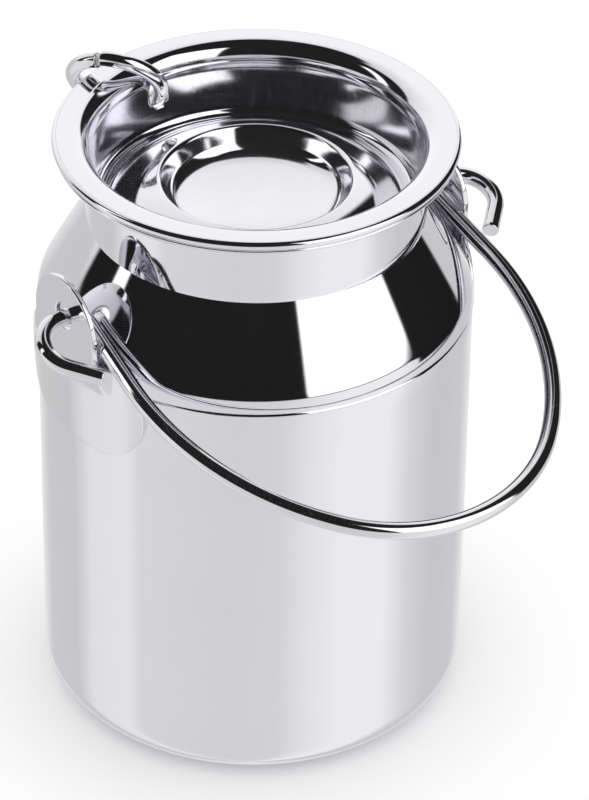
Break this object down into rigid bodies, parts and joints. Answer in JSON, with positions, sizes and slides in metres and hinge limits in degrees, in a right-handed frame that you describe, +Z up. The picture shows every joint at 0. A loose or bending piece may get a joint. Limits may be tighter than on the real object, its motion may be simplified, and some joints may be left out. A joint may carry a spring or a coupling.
{
  "type": "milk can",
  "caption": "Small round steel milk can with a sunken lift-off lid, a ring on the lid and a swinging wire bail held in two ear plates.",
  "frame": {"origin": "centre of the flat bottom, on the surface the can stands on", "axes": "+Z up along the can's own axis; +X from the left ear plate to the right one, along the bail axis; -Y is the side the bail rests towards"},
  "size_m": [0.128, 0.1413, 0.1562],
  "materials": {
    "can_steel": "polished stainless steel, almost mirror",
    "plate_steel": "polished stainless steel plate",
    "wire_steel": "bright drawn stainless wire",
    "lid_steel": "polished stainless steel with fine turning grain in the well"
  },
  "bodies": {
    "can": {"body_cup": "can_steel", "breast": "can_steel", "neck_collar": "can_steel", "ear_plate_left": "plate_steel", "ear_plate_right": "plate_steel"},
    "bail": {"bail_handle": "wire_steel"},
    "lid": {"lid_pan": "lid_steel"},
    "ring": {"lid_ring": "wire_steel"}
  },
  "joints": [
    {"name": "bail_swing", "type": "hinge", "parent": "can", "child": "bail", "pos_m": [0, 0, 0.119], "axis": [-1, 0, 0], "range_deg": [0, 210]},
    {"name": "lid_lift", "type": "slide", "parent": "can", "child": "lid", "axis": [0, 0, 1], "range_m": [0, 0.06]},
    {"name": "ring_turn", "type": "hinge", "parent": "lid", "child": "ring", "pos_m": [-0.01047, 0.04263, 0.1455], "axis": [-0.6115, -0.5968, -0.5195], "continuous": true}
  ]
}
